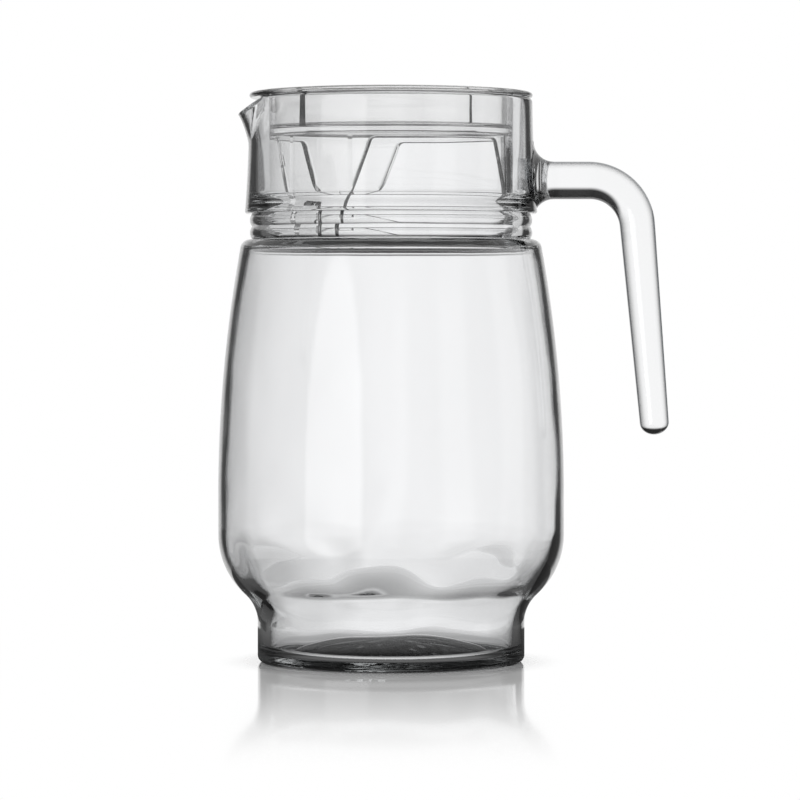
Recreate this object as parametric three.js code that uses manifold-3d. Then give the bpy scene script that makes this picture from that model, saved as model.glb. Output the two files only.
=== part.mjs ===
// Glass water pitcher: a pressed vessel with a pouring lip, a solid glass handle fused to its neck,
// and a clear drop-in lid with a recessed grip and three tapering legs.
// Millimetres, +Z up, standing on z = 0, handle towards +X and spout towards -X.
import * as THREE from "three";
import { mergeVertices } from "three/addons/utils/BufferGeometryUtils.js";
import Module from "manifold-3d";

const wasm = await Module();
wasm.setup();

// Foot and base of the vessel
const FOOT_RADIUS = 49.4;
const FOOT_WALL = 4.5;
const FOOT_STRAIGHT_TOP = 14.4; // height where the foot starts to flare
const FOOT_EDGE_ROUND = 2.5;
const BEARING_WIDTH = 8; // flat ring that the pitcher stands on
const PUNT_RISE = 5; // hollow under the base
const PUNT_EDGE = 8; // width of the steep border of the hollow
const BASE_THICKNESS = 3.4;
const FLOOR_CROWN = 0.6; // extra glass over the middle of the hollow
const FLOOR_INSET = 2; // the floor's dome starts this far inside the hollow's edge
const FLOOR_FILLET = 4;

// Belly and shoulder
const WAIST_FILLET = 14.5; // hollow round between foot and belly
const BOWL_CORNER = 30; // full round at the bottom of the belly
const BODY_RADIUS = 64;
const BODY_WALL = 3.3;
const BELLY_HEIGHT = 61; // height where the wall starts to lean in
const SHOULDER_RADIUS = 55.7;
const SHOULDER_HEIGHT = 153.2;
const SHOULDER_ROUND = 3.6;
const SHOULDER_THICKNESS = 3.7;

// Beaded collar and neck
const COLLAR_RADIUS = 51.4; // at the valleys between the beads
const COLLAR_WALL = 4.4;
const BEAD_COUNT = 2;
const BEAD_HEIGHT = 4.7;
const BEAD_BULGE = 0.6;
const NECK_HEIGHT = 42.4; // from the top of the collar to the rim
const NECK_BASE_RADIUS = 54;
const NECK_BASE_ROUND = 0.9;
const NECK_WAIST_RADIUS = 52.7;
const NECK_WAIST_RISE = 16;
const RIM_RADIUS = 52.2;
const RIM_ROUND = 1.2;
const NECK_WALL = 3;
const LEDGE_HEIGHT = 7; // inside slope from the neck bore to the collar bore

// Pouring lip, pulled out of the rim
const SPOUT_REACH = 4.5;
const SPOUT_DROP = 5.5;
const SPOUT_DEPTH = 16.5;
const SPOUT_WIDTH = 46;
const SPOUT_LIP_WALL = 2.2;

// Handle
const HANDLE_RISE = 12.4; // centre of its arm above the collar
const HANDLE_ARM = 20.6; // from the neck to the bend
const HANDLE_BEND = 17.8; // radius of the bend's centre line
const HANDLE_LEAN = 5; // degrees that the grip stands off the vertical
const HANDLE_GRIP = 78; // length of the straight grip with its round end
const HANDLE_THICKNESS = 13.9;
const HANDLE_WIDTH = 15;
const HANDLE_TIP_THICKNESS = 10.6;
const HANDLE_TIP_WIDTH = 11.6;
const HANDLE_TIP_ROUND = 4.4;
const ROOT_FLARE = 4.6; // glass gathered round the root
const JOIN_GAP = 0.3; // between the handle's root and the neck

// Lid
const LID_CLEARANCE = 0.3; // on the rim and in the collar
const FLANGE_OVERHANG = 0.1;
const FLANGE_THICKNESS = 1.9;
const CUP_DEPTH = 14.2;
const CUP_FILLET = 1.6;
const LID_WALL = 2;
const LID_FLOOR = 1.7;
const LEG_COUNT = 3;
const LEG_LIFT = 0.9; // feet of the legs above the shoulder
const WINDOW_LINTEL = 2.5;
const WINDOW_TOP_WIDTH = 46.8;
const WINDOW_LEAN = 16.2; // degrees that the window's sides lean out
const WINDOW_CORNER = 1.8;
const PAD_THICKNESS = 1.7; // spacer pad on the foot of each leg
const PAD_WIDTH = 6.4;
const PAD_HEIGHT = 10.4;
const PAD_CHAMFER = 0.8;
const GRIP_THICKNESS = 3.2;
const GRIP_DRAFT = 0.4; // each side narrows by this much to the top
const GRIP_DROP = 1.2; // top of the grip under the top of the flange
const GRIP_TURN = -9; // degrees from the first leg to the grip
const LID_TURN = 53.65; // degrees from the spout to the first leg

// Facets
const ROUND_STEPS = 48;
const EDGE_STEPS = 2; // small rounds
const CURVE_STEPS = 3; // fillets, beads and domes
const WALL_STEPS = 5; // long walls
const HANDLE_SIDES = 18;

const radians = THREE.MathUtils.degToRad;
const spot = (radius, height) => new THREE.Vector2(radius, height);

// Heights and radii that follow from the sizes above
const leanRadius = turnRadius(BODY_RADIUS - SHOULDER_RADIUS, SHOULDER_HEIGHT - BELLY_HEIGHT);
const leanAngle = Math.asin((SHOULDER_HEIGHT - BELLY_HEIGHT) / leanRadius);
const shoulderTop = SHOULDER_HEIGHT + SHOULDER_ROUND * (1 - Math.sin(leanAngle));
const collarTop = shoulderTop + BEAD_COUNT * BEAD_HEIGHT;
const rimHeight = collarTop + NECK_HEIGHT;
const collarBore = COLLAR_RADIUS - COLLAR_WALL;
const neckBore = RIM_RADIUS - NECK_WALL;
const footBore = FOOT_RADIUS - FOOT_WALL;
const innerBelly = BODY_RADIUS - BODY_WALL;
const puntRadius = FOOT_RADIUS - FOOT_EDGE_ROUND - BEARING_WIDTH;
const handleHeight = collarTop + HANDLE_RISE;

// Radius of an arc that starts along the height and shifts sideways by `sideways` over `rise`
function turnRadius(sideways, rise) {
  return (rise ** 2 + sideways ** 2) / (2 * sideways);
}

function line(from, to, steps) {
  return new THREE.LineCurve(from, to).getPoints(steps);
}

function arc(centre, radius, from, to, steps) {
  return new THREE.EllipseCurve(centre.x, centre.y, radius, radius, from, to, from > to).getPoints(steps);
}

function bend(from, control, to, steps) {
  return new THREE.QuadraticBezierCurve(from, control, to).getPoints(steps);
}

// S-shaped stretch that is upright at both ends
function upright(from, to) {
  const middle = (from.y + to.y) / 2;
  const curve = new THREE.CubicBezierCurve(from, spot(from.x, middle), spot(to.x, middle), to);
  return curve.getPoints(CURVE_STEPS);
}

// Joins stretches of an outline and leaves out the points that repeat
function joinStretches(...stretches) {
  const sameSpot = 1e-6;
  return stretches.flat().filter((p, i, all) => i === 0 || p.distanceTo(all[i - 1]) > sameSpot);
}

// Foot wall flaring into the belly: a hollow round that runs into a full round
function flare(footRadius, fillet, bellyRadius, corner) {
  const filletCentre = spot(footRadius + fillet, FOOT_STRAIGHT_TOP);
  const across = filletCentre.x - (bellyRadius - corner);
  const rise = Math.sqrt((fillet + corner) ** 2 - across ** 2);
  const cornerCentre = spot(bellyRadius - corner, FOOT_STRAIGHT_TOP + rise);
  const turn = Math.atan2(rise, across);
  return [
    ...arc(filletCentre, fillet, Math.PI, Math.PI - turn, CURVE_STEPS),
    ...arc(cornerCentre, corner, -turn, 0, CURVE_STEPS),
  ];
}

// Belly wall leaning in to the shoulder on one long arc
function leanIn(bellyRadius, topRadius, topHeight) {
  const rise = topHeight - BELLY_HEIGHT;
  const radius = turnRadius(bellyRadius - topRadius, rise);
  const centre = spot(bellyRadius - radius, BELLY_HEIGHT);
  return arc(centre, radius, 0, Math.asin(rise / radius), WALL_STEPS);
}

function bead(index) {
  const radius = turnRadius(BEAD_BULGE, BEAD_HEIGHT / 2);
  const halfAngle = Math.asin(BEAD_HEIGHT / 2 / radius);
  const middle = shoulderTop + (index + 0.5) * BEAD_HEIGHT;
  return arc(spot(COLLAR_RADIUS + BEAD_BULGE - radius, middle), radius, -halfAngle, halfAngle, CURVE_STEPS);
}

// Hollow under the base and the dome of the floor over it share this form
function dome(edgeRadius, edgeHeight, apexHeight) {
  const border = spot(puntRadius - PUNT_EDGE, apexHeight);
  return bend(spot(edgeRadius, edgeHeight), border, spot(0, apexHeight), CURVE_STEPS);
}

function outside() {
  const edgeCentre = spot(FOOT_RADIUS - FOOT_EDGE_ROUND, FOOT_EDGE_ROUND);
  const shoulderCentre = spot(
    SHOULDER_RADIUS - SHOULDER_ROUND * Math.cos(leanAngle),
    shoulderTop - SHOULDER_ROUND,
  );
  const stepCentre = spot(NECK_BASE_RADIUS - NECK_BASE_ROUND, collarTop + NECK_BASE_ROUND);
  const rimCentre = spot(RIM_RADIUS - RIM_ROUND, rimHeight - RIM_ROUND);
  const beads = Array.from({ length: BEAD_COUNT }, (_, index) => bead(index));
  return joinStretches(
    arc(edgeCentre, FOOT_EDGE_ROUND, -Math.PI / 2, 0, EDGE_STEPS),
    flare(FOOT_RADIUS, WAIST_FILLET, BODY_RADIUS, BOWL_CORNER),
    leanIn(BODY_RADIUS, SHOULDER_RADIUS, SHOULDER_HEIGHT),
    arc(shoulderCentre, SHOULDER_ROUND, leanAngle, Math.PI / 2, CURVE_STEPS),
    ...beads,
    arc(stepCentre, NECK_BASE_ROUND, -Math.PI / 2, 0, EDGE_STEPS),
    bend(
      spot(NECK_BASE_RADIUS, stepCentre.y),
      spot(NECK_WAIST_RADIUS, collarTop + NECK_WAIST_RISE),
      spot(RIM_RADIUS, rimCentre.y),
      WALL_STEPS,
    ),
    arc(rimCentre, RIM_ROUND, 0, Math.PI / 2, EDGE_STEPS),
  );
}

function inside() {
  const rimCentre = spot(neckBore + RIM_ROUND, rimHeight - RIM_ROUND);
  const ledgeTop = collarTop + LEDGE_HEIGHT;
  const innerShoulder = SHOULDER_RADIUS - BODY_WALL;
  const innerShoulderHeight = SHOULDER_HEIGHT - SHOULDER_THICKNESS;
  const filletCentre = spot(footBore - FLOOR_FILLET, BASE_THICKNESS + FLOOR_FILLET);
  const waist = flare(footBore, WAIST_FILLET + FOOT_WALL, innerBelly, BOWL_CORNER - BODY_WALL);
  const lean = leanIn(innerBelly, innerShoulder, innerShoulderHeight);
  return joinStretches(
    arc(rimCentre, RIM_ROUND, Math.PI / 2, Math.PI, EDGE_STEPS),
    line(spot(neckBore, rimCentre.y), spot(neckBore, ledgeTop), WALL_STEPS),
    upright(spot(neckBore, ledgeTop), spot(collarBore, collarTop)),
    upright(spot(collarBore, shoulderTop), spot(innerShoulder, innerShoulderHeight)),
    lean.reverse(),
    waist.reverse(),
    arc(filletCentre, FLOOR_FILLET, 0, -Math.PI / 2, EDGE_STEPS),
    dome(puntRadius - FLOOR_INSET, BASE_THICKNESS, BASE_THICKNESS + PUNT_RISE + FLOOR_CROWN),
  );
}

// Revolves an outline of radius and height about the Z axis, its first facet edge facing -Y
function revolve(outline) {
  return new THREE.LatheGeometry(outline, ROUND_STEPS).rotateX(Math.PI / 2);
}

// Pulls the rim out and down on the -X side, most at the rim and nothing at the root of the lip
function pullSpout(geometry) {
  const place = geometry.getAttribute("position");
  const halfAngle = Math.asin(SPOUT_WIDTH / 2 / RIM_RADIUS);
  const wallMiddle = RIM_RADIUS - NECK_WALL / 2;
  const vertex = new THREE.Vector3();
  for (let i = 0; i < place.count; i += 1) {
    vertex.fromBufferAttribute(place, i);
    const radius = Math.hypot(vertex.x, vertex.y);
    const fromSpout = Math.abs(Math.atan2(vertex.y, -vertex.x)) / halfAngle;
    const rise = (vertex.z - (rimHeight - SPOUT_DEPTH)) / SPOUT_DEPTH;
    if (fromSpout < 1 && rise > 0) {
      const pull = (1 + Math.cos(Math.PI * fromSpout)) / 2;
      const thinning = radius < wallMiddle ? NECK_WALL - SPOUT_LIP_WALL : 0;
      const stretched = radius + (SPOUT_REACH + thinning) * pull * rise;
      const drop = SPOUT_DROP * pull * rise ** 2;
      place.setXYZ(i, (vertex.x / radius) * stretched, (vertex.y / radius) * stretched, vertex.z - drop);
    }
  }
  return geometry;
}

function solid(geometry) {
  const bare = new THREE.BufferGeometry();
  bare.setAttribute("position", geometry.getAttribute("position"));
  bare.setIndex(geometry.getIndex());
  const merged = mergeVertices(bare);
  return new wasm.Manifold(
    new wasm.Mesh({
      numProp: 3,
      vertProperties: new Float32Array(merged.getAttribute("position").array),
      triVerts: new Uint32Array(merged.getIndex().array),
    }),
  );
}

function geometryOf(body) {
  const mesh = body.getMesh();
  const geometry = new THREE.BufferGeometry();
  geometry.setAttribute("position", new THREE.Float32BufferAttribute(mesh.vertProperties, 3));
  geometry.setIndex(new THREE.Uint32BufferAttribute(mesh.triVerts, 1));
  geometry.computeVertexNormals();
  return geometry;
}

function vessel() {
  const underside = dome(puntRadius, 0, PUNT_RISE).reverse();
  return pullSpout(revolve(joinStretches(underside, outside(), inside())));
}

// Solid that fills the vessel's outline and stands off it by the joining gap
function vesselClearance() {
  const grown = outside().map((p) => spot(p.x + JOIN_GAP, p.y));
  return solid(revolve([spot(0, grown[0].y), ...grown, spot(0, rimHeight)]));
}

// How far the gathered glass at the root stands out, at a distance from the neck
function rootFlare(distance) {
  const near = THREE.MathUtils.clamp(distance, 0, ROOT_FLARE);
  return ROOT_FLARE - Math.sqrt(ROOT_FLARE ** 2 - (ROOT_FLARE - near) ** 2);
}

// Centre line of the handle in the plane of the spout: arm, bend and leaning grip
function handlePath() {
  const armStart = NECK_WAIST_RADIUS - NECK_WALL;
  const bendStart = NECK_WAIST_RADIUS + HANDLE_ARM;
  const lean = radians(HANDLE_LEAN);
  const bendEnd = spot(
    bendStart + HANDLE_BEND * Math.cos(lean),
    handleHeight - HANDLE_BEND + HANDLE_BEND * Math.sin(lean),
  );
  const path = new THREE.Path();
  path.moveTo(armStart, handleHeight);
  path.lineTo(bendStart, handleHeight);
  path.absarc(bendStart, handleHeight - HANDLE_BEND, HANDLE_BEND, Math.PI / 2, lean, true);
  path.lineTo(bendEnd.x + HANDLE_GRIP * Math.sin(lean), bendEnd.y - HANDLE_GRIP * Math.cos(lean));
  return path;
}

// Distances along the centre line at which the handle's section is drawn
function handleStations(path) {
  const bendFrom = NECK_WALL + HANDLE_ARM;
  const gripFrom = bendFrom + HANDLE_BEND * radians(90 - HANDLE_LEAN);
  const end = path.getLength();
  const steps = (from, to, count) =>
    Array.from({ length: count }, (_, i) => THREE.MathUtils.lerp(from, to, i / count));
  const flareShares = [0, 0.08, 0.22, 0.42, 0.68];
  const tipAngles = steps(0, Math.PI / 2, 5);
  return [
    0,
    ...flareShares.map((share) => NECK_WALL + share * ROOT_FLARE),
    ...steps(NECK_WALL + ROOT_FLARE, bendFrom, 2),
    ...steps(bendFrom, gripFrom, 9),
    ...steps(gripFrom, end - HANDLE_TIP_ROUND, 5),
    ...tipAngles.map((angle) => end - HANDLE_TIP_ROUND * (1 - Math.sin(angle))),
  ];
}

// Oval sections lofted along the centre line and closed by a fan at each end
function handleLoft() {
  const path = handlePath();
  const end = path.getLength();
  const taperFrom = NECK_WALL + HANDLE_ARM;
  const stations = handleStations(path);
  const points = [];
  for (const along of stations) {
    const centre = path.getPointAt(along / end);
    const tangent = path.getTangentAt(along / end);
    const taper = THREE.MathUtils.clamp((along - taperFrom) / (end - taperFrom), 0, 1);
    const intoTip = Math.max(0, (along - (end - HANDLE_TIP_ROUND)) / HANDLE_TIP_ROUND);
    const closing = Math.sqrt(1 - intoTip ** 2);
    const swell = rootFlare(along - NECK_WALL);
    const halfThick = THREE.MathUtils.lerp(HANDLE_THICKNESS, HANDLE_TIP_THICKNESS, taper) / 2;
    const halfWide = THREE.MathUtils.lerp(HANDLE_WIDTH, HANDLE_TIP_WIDTH, taper) / 2;
    for (let side = 0; side < HANDLE_SIDES; side += 1) {
      const angle = (2 * Math.PI * side) / HANDLE_SIDES;
      const up = (halfThick + swell) * closing * Math.cos(angle);
      const across = (halfWide + swell) * closing * Math.sin(angle);
      points.push(centre.x - tangent.y * up, across, centre.y + tangent.x * up);
    }
  }
  const first = path.getPointAt(0);
  const last = path.getPointAt(1);
  points.push(first.x, 0, first.y, last.x, 0, last.y);
  const geometry = new THREE.BufferGeometry();
  geometry.setAttribute("position", new THREE.Float32BufferAttribute(points, 3));
  geometry.setIndex(loftFaces(stations.length, HANDLE_SIDES));
  return geometry;
}

function loftFaces(rings, sides) {
  const faces = [];
  const firstPole = rings * sides;
  const lastPole = firstPole + 1;
  const lastRing = (rings - 1) * sides;
  for (let side = 0; side < sides; side += 1) {
    const next = (side + 1) % sides;
    faces.push(firstPole, side, next);
    faces.push(lastPole, lastRing + next, lastRing + side);
    for (let low = 0; low < lastRing; low += sides) {
      const high = low + sides;
      faces.push(low + side, high + next, low + next);
      faces.push(low + side, high + side, high + next);
    }
  }
  return faces;
}

function handle() {
  return geometryOf(solid(handleLoft()).subtract(vesselClearance()));
}

// Lid sizes, with heights measured from the underside of its flange
const lidSeat = rimHeight + LID_CLEARANCE;
const padRadius = collarBore - LID_CLEARANCE;
const cupRadius = padRadius - PAD_THICKNESS;
const cupBore = cupRadius - LID_WALL;
const flangeRadius = RIM_RADIUS + FLANGE_OVERHANG;
const cupFloor = FLANGE_THICKNESS - CUP_DEPTH;
const cupUnderside = cupFloor - LID_FLOOR;
const legFoot = shoulderTop + LEG_LIFT - lidSeat;

// Flange, recessed cup and the skirt that the legs are cut from
function lidBlank() {
  const edge = FLANGE_THICKNESS / 2;
  const edgeCentre = spot(flangeRadius - edge, edge);
  const filletCentre = spot(cupBore - CUP_FILLET, cupFloor + CUP_FILLET);
  const lipCentre = spot(cupBore + edge, edge);
  return solid(
    revolve(
      joinStretches(
        [spot(0, cupUnderside), spot(cupBore, cupUnderside)],
        [spot(cupBore, legFoot), spot(cupRadius, legFoot), spot(cupRadius, 0)],
        arc(edgeCentre, edge, -Math.PI / 2, Math.PI / 2, 2 * EDGE_STEPS),
        arc(lipCentre, edge, Math.PI / 2, Math.PI, EDGE_STEPS),
        arc(filletCentre, CUP_FILLET, 0, -Math.PI / 2, EDGE_STEPS),
        [spot(0, cupFloor)],
      ),
    ),
  );
}

// Turns a shape drawn upright in X and Y so that its depth runs outward at an angle round the lid
function faceOutward(geometry, angle) {
  const outward = new THREE.Vector3(Math.cos(angle), Math.sin(angle), 0);
  const up = new THREE.Vector3(0, 0, 1);
  const across = new THREE.Vector3().crossVectors(up, outward);
  return geometry.applyMatrix4(new THREE.Matrix4().makeBasis(across, up, outward));
}

// Opening between two legs: rounded at the top, wider towards the feet, open below
function windowCutter(angle) {
  const top = cupUnderside - WINDOW_LINTEL;
  const bottom = legFoot - LID_WALL;
  const slope = Math.tan(radians(WINDOW_LEAN));
  const topHalf = WINDOW_TOP_WIDTH / 2;
  const bottomHalf = topHalf + (top - bottom) * slope;
  const sideHalf = topHalf + WINDOW_CORNER * slope;
  const shape = new THREE.Shape();
  shape.moveTo(-bottomHalf, bottom);
  shape.lineTo(bottomHalf, bottom);
  shape.lineTo(sideHalf, top - WINDOW_CORNER);
  shape.quadraticCurveTo(topHalf, top, topHalf - WINDOW_CORNER, top);
  shape.lineTo(WINDOW_CORNER - topHalf, top);
  shape.quadraticCurveTo(-topHalf, top, -sideHalf, top - WINDOW_CORNER);
  const depth = cupRadius + LID_WALL;
  const cutter = new THREE.ExtrudeGeometry(shape, { depth, bevelEnabled: false, curveSegments: CURVE_STEPS });
  return solid(faceOutward(cutter, angle));
}

// Ring of the pads' outline, from which a slab cuts one pad
function padRing() {
  const root = cupRadius - LID_WALL / 2;
  const top = legFoot + PAD_HEIGHT;
  return solid(
    revolve([
      spot(root, legFoot),
      spot(padRadius - PAD_CHAMFER, legFoot),
      spot(padRadius, legFoot + PAD_CHAMFER),
      spot(padRadius, top - PAD_CHAMFER),
      spot(padRadius - PAD_CHAMFER, top),
      spot(root, top),
      spot(root, legFoot),
    ]),
  );
}

function pad(angle) {
  const slab = new THREE.BoxGeometry(PAD_WIDTH, 2 * PAD_HEIGHT, 2 * padRadius);
  slab.translate(0, legFoot + PAD_HEIGHT / 2, padRadius);
  return padRing().intersect(solid(faceOutward(slab, angle)));
}

// Upright fin across the recess, drawn as its drafted section
function grip(angle) {
  const top = FLANGE_THICKNESS - GRIP_DROP;
  const root = cupFloor - LID_FLOOR / 2;
  const reach = cupBore + LID_WALL / 2;
  const rootHalf = GRIP_THICKNESS / 2;
  const topHalf = rootHalf - GRIP_DRAFT;
  const shape = new THREE.Shape();
  shape.moveTo(-rootHalf, root);
  shape.lineTo(rootHalf, root);
  shape.lineTo(topHalf, top);
  shape.lineTo(-topHalf, top);
  const fin = new THREE.ExtrudeGeometry(shape, { depth: 2 * reach, bevelEnabled: false });
  return solid(faceOutward(fin.translate(0, 0, -reach), angle));
}

function lid() {
  const legPitch = (2 * Math.PI) / LEG_COUNT;
  let body = lidBlank().add(grip(radians(GRIP_TURN)));
  for (let leg = 0; leg < LEG_COUNT; leg += 1) {
    body = body.subtract(windowCutter((leg + 0.5) * legPitch)).add(pad(leg * legPitch));
  }
  return geometryOf(body);
}

const glass = new THREE.MeshStandardMaterial({
  color: 0xe9efec,
  roughness: 0.03,
  metalness: 0,
  transparent: true,
  opacity: 0.35,
});
const clearPlastic = new THREE.MeshStandardMaterial({
  color: 0xf0f1f0,
  roughness: 0.08,
  metalness: 0,
  transparent: true,
  opacity: 0.4,
});

function piece(name, geometry, material) {
  const mesh = new THREE.Mesh(geometry, material);
  mesh.name = name;
  return mesh;
}

const lidMesh = piece("lid", lid(), clearPlastic);
lidMesh.position.z = lidSeat;
lidMesh.rotation.z = Math.PI + radians(LID_TURN);

const assembly = new THREE.Group();
assembly.add(piece("glass_body", vessel(), glass), piece("glass_handle", handle(), glass), lidMesh);

// The origin lies under the middle of the whole pitcher, handle included
const extent = new THREE.Box3().setFromObject(assembly, true);
assembly.position.x = -(extent.min.x + extent.max.x) / 2;

const pitcher = new THREE.Group();
pitcher.add(assembly);

export default pitcher;
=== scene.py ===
# %% [markdown]
# A clear glass water pitcher
# The pitcher is a pressed glass vessel with a pouring lip, a solid glass handle fused to
# its neck, and a clear plastic lid that drops into the neck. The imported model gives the
# frame: metres, +Z up, the spout towards -X and the handle towards +X. Every piece below
# is drawn in that frame, so nothing has to be fitted afterwards.

# %% Load the frame
import math

import bmesh
import bpy
from mathutils import Matrix, Vector, noise


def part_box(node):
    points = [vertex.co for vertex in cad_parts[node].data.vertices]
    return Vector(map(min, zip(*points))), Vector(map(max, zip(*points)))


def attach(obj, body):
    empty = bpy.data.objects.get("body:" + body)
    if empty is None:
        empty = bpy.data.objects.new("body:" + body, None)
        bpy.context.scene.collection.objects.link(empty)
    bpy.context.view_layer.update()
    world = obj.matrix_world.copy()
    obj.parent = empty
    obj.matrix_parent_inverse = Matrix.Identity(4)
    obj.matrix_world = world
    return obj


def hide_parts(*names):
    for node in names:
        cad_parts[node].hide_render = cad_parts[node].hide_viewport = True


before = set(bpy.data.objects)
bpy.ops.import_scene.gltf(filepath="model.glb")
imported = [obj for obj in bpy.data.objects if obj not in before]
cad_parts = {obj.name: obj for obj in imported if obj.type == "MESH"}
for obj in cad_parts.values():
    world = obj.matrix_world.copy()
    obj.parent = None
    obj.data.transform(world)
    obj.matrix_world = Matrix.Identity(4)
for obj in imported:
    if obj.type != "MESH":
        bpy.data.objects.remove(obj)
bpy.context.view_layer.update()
scene = bpy.context.scene

# %% [markdown]
# Where the vessel stands
# The origin lies under the middle of the whole pitcher, handle included, so the vessel's
# own axis is off to one side. The belly is the widest part of the vessel and is round, so
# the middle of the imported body's box is the axis, and half its width is the belly radius.

# %% Axis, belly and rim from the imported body
mm = 0.001
body_low, body_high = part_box("glass_body")
AXIS = (body_low.x + body_high.x) / 2
BODY_RADIUS = (body_high.x - body_low.x) / 2
RIM_HEIGHT = body_high.z
print(f"axis at x {AXIS / mm:.2f} mm, belly radius {BODY_RADIUS / mm:.2f} mm")
print(f"rim at {RIM_HEIGHT / mm:.2f} mm")

# %% [markdown]
# Drawing outlines
# A vessel like this is round, so its glass can be drawn as one outline of radius and
# height and spun about the axis. Blown and pressed glass has no hard corners: the outline
# is made of arcs and soft bends that run into each other. These helpers give their points.

# %% Arcs and bends as points of radius and height
def arc(radius, height, size, start, end, steps):
    turns = [math.radians(start + (end - start) * i / steps) for i in range(steps + 1)]
    return [(radius + size * math.cos(t), height + size * math.sin(t)) for t in turns]


def bend(first, control, last, steps):
    def between(t, a, b, c):
        return (1 - t) ** 2 * a + 2 * t * (1 - t) * b + t * t * c

    shares = [i / steps for i in range(steps + 1)]
    return [tuple(between(t, *ends) for ends in zip(first, control, last)) for t in shares]


def ease(first, last, steps):
    points = []
    for i in range(steps + 1):
        turn = math.pi * i / steps
        radius = first[0] + (last[0] - first[0]) * (1 - math.cos(turn)) / 2
        points.append((radius, first[1] + (last[1] - first[1]) * turn / math.pi))
    return points


def turn_radius(sideways, rise):
    return (rise**2 + sideways**2) / (2 * sideways)


print("a bend from (0, 0) to (2, 2) in two steps:", bend((0, 0), (2, 0), (2, 2), 2))

# %% [markdown]
# Outside of the vessel
# From the bottom up the outside has a hollow under the base, a flat ring to stand on, an
# upright foot, a hollow round into the belly, a wall that leans in on one long arc, a
# tight shoulder, a collar of two beads, and a neck that narrows a little to the rim.

# %% Foot and belly outside
FOOT_RADIUS, FOOT_TOP, FOOT_EDGE = 49.4 * mm, 14.4 * mm, 2.5 * mm
BEARING, PUNT_RISE, PUNT_EDGE = 8 * mm, 5 * mm, 8 * mm
WAIST_FILLET, BOWL_CORNER = 14.5 * mm, 30 * mm
BELLY_HEIGHT, SHOULDER_HEIGHT, SHOULDER_RADIUS = 61 * mm, 153.2 * mm, 55.7 * mm
PUNT_RADIUS = FOOT_RADIUS - FOOT_EDGE - BEARING


def flare(foot, fillet, belly, corner):
    across = foot + fillet - (belly - corner)
    rise = math.sqrt((fillet + corner) ** 2 - across**2)
    turn = math.degrees(math.atan2(rise, across))
    hollow = arc(foot + fillet, FOOT_TOP, fillet, 180, 180 - turn, 12)
    return hollow + arc(belly - corner, FOOT_TOP + rise, corner, -turn, 0, 18)


def lean_in(belly, top, height):
    size = turn_radius(belly - top, height - BELLY_HEIGHT)
    turn = math.degrees(math.asin((height - BELLY_HEIGHT) / size))
    return arc(belly - size, BELLY_HEIGHT, size, 0, turn, 22)


underside = bend((0, PUNT_RISE), (PUNT_RADIUS - PUNT_EDGE, PUNT_RISE), (PUNT_RADIUS, 0), 14)
foot_edge = arc(FOOT_RADIUS - FOOT_EDGE, FOOT_EDGE, FOOT_EDGE, -90, 0, 8)
belly = flare(FOOT_RADIUS, WAIST_FILLET, BODY_RADIUS, BOWL_CORNER)
wall = lean_in(BODY_RADIUS, SHOULDER_RADIUS, SHOULDER_HEIGHT)
print("outside points up to the shoulder:", len(underside + foot_edge + belly + wall))

# %% [markdown]
# Shoulder, collar and neck
# Above the belly the wall ends in a tight round. Two beads stiffen the collar, each a flat
# arc, and the neck starts with a small step and narrows to the rim. The round of the
# shoulder has to start where the leaning wall ends, so its first angle comes from the wall.

# %% Shoulder, beads, neck and rim outside
COLLAR_RADIUS, BEAD_HEIGHT, BEAD_BULGE, BEADS = 51.4 * mm, 4.7 * mm, 0.8 * mm, 2
NECK_BASE, NECK_ROUND, NECK_WAIST, NECK_WAIST_RISE = 54 * mm, 0.9 * mm, 52.7 * mm, 16 * mm
SHOULDER_ROUND, RIM_RADIUS, RIM_ROUND = 3.6 * mm, 52.2 * mm, 1.2 * mm
lean_size = turn_radius(BODY_RADIUS - SHOULDER_RADIUS, SHOULDER_HEIGHT - BELLY_HEIGHT)
lean_angle = math.asin((SHOULDER_HEIGHT - BELLY_HEIGHT) / lean_size)
SHOULDER_TOP = SHOULDER_HEIGHT + SHOULDER_ROUND * (1 - math.sin(lean_angle))
COLLAR_TOP = SHOULDER_TOP + BEADS * BEAD_HEIGHT

shoulder = arc(
    SHOULDER_RADIUS - SHOULDER_ROUND * math.cos(lean_angle),
    SHOULDER_TOP - SHOULDER_ROUND,
    SHOULDER_ROUND,
    math.degrees(lean_angle),
    90,
    10,
)
collar = []
for bead in range(BEADS):
    size = turn_radius(BEAD_BULGE, BEAD_HEIGHT / 2)
    half = math.degrees(math.asin(BEAD_HEIGHT / 2 / size))
    middle = SHOULDER_TOP + (bead + 0.5) * BEAD_HEIGHT
    collar += arc(COLLAR_RADIUS + BEAD_BULGE - size, middle, size, -half, half, 8)
neck = arc(NECK_BASE - NECK_ROUND, COLLAR_TOP + NECK_ROUND, NECK_ROUND, -90, 0, 5)
neck += bend(
    (NECK_BASE, COLLAR_TOP + NECK_ROUND),
    (NECK_WAIST, COLLAR_TOP + NECK_WAIST_RISE),
    (RIM_RADIUS, RIM_HEIGHT - RIM_ROUND),
    22,
)
rim = arc(RIM_RADIUS - RIM_ROUND, RIM_HEIGHT - RIM_ROUND, RIM_ROUND, 0, 90, 6)
outside = underside + foot_edge + belly + wall + shoulder + collar + neck + rim
print(f"shoulder {SHOULDER_TOP / mm:.2f} mm, collar top {COLLAR_TOP / mm:.2f} mm, {len(outside)} points")

# %% [markdown]
# Inside of the vessel
# The inside follows the outside at the thickness of the glass, with two differences: it
# has no beads, and under the neck it steps in on a soft ledge to the narrower collar,
# where the feet of the lid's legs bear. The floor rises over the hollow of the base.

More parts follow.
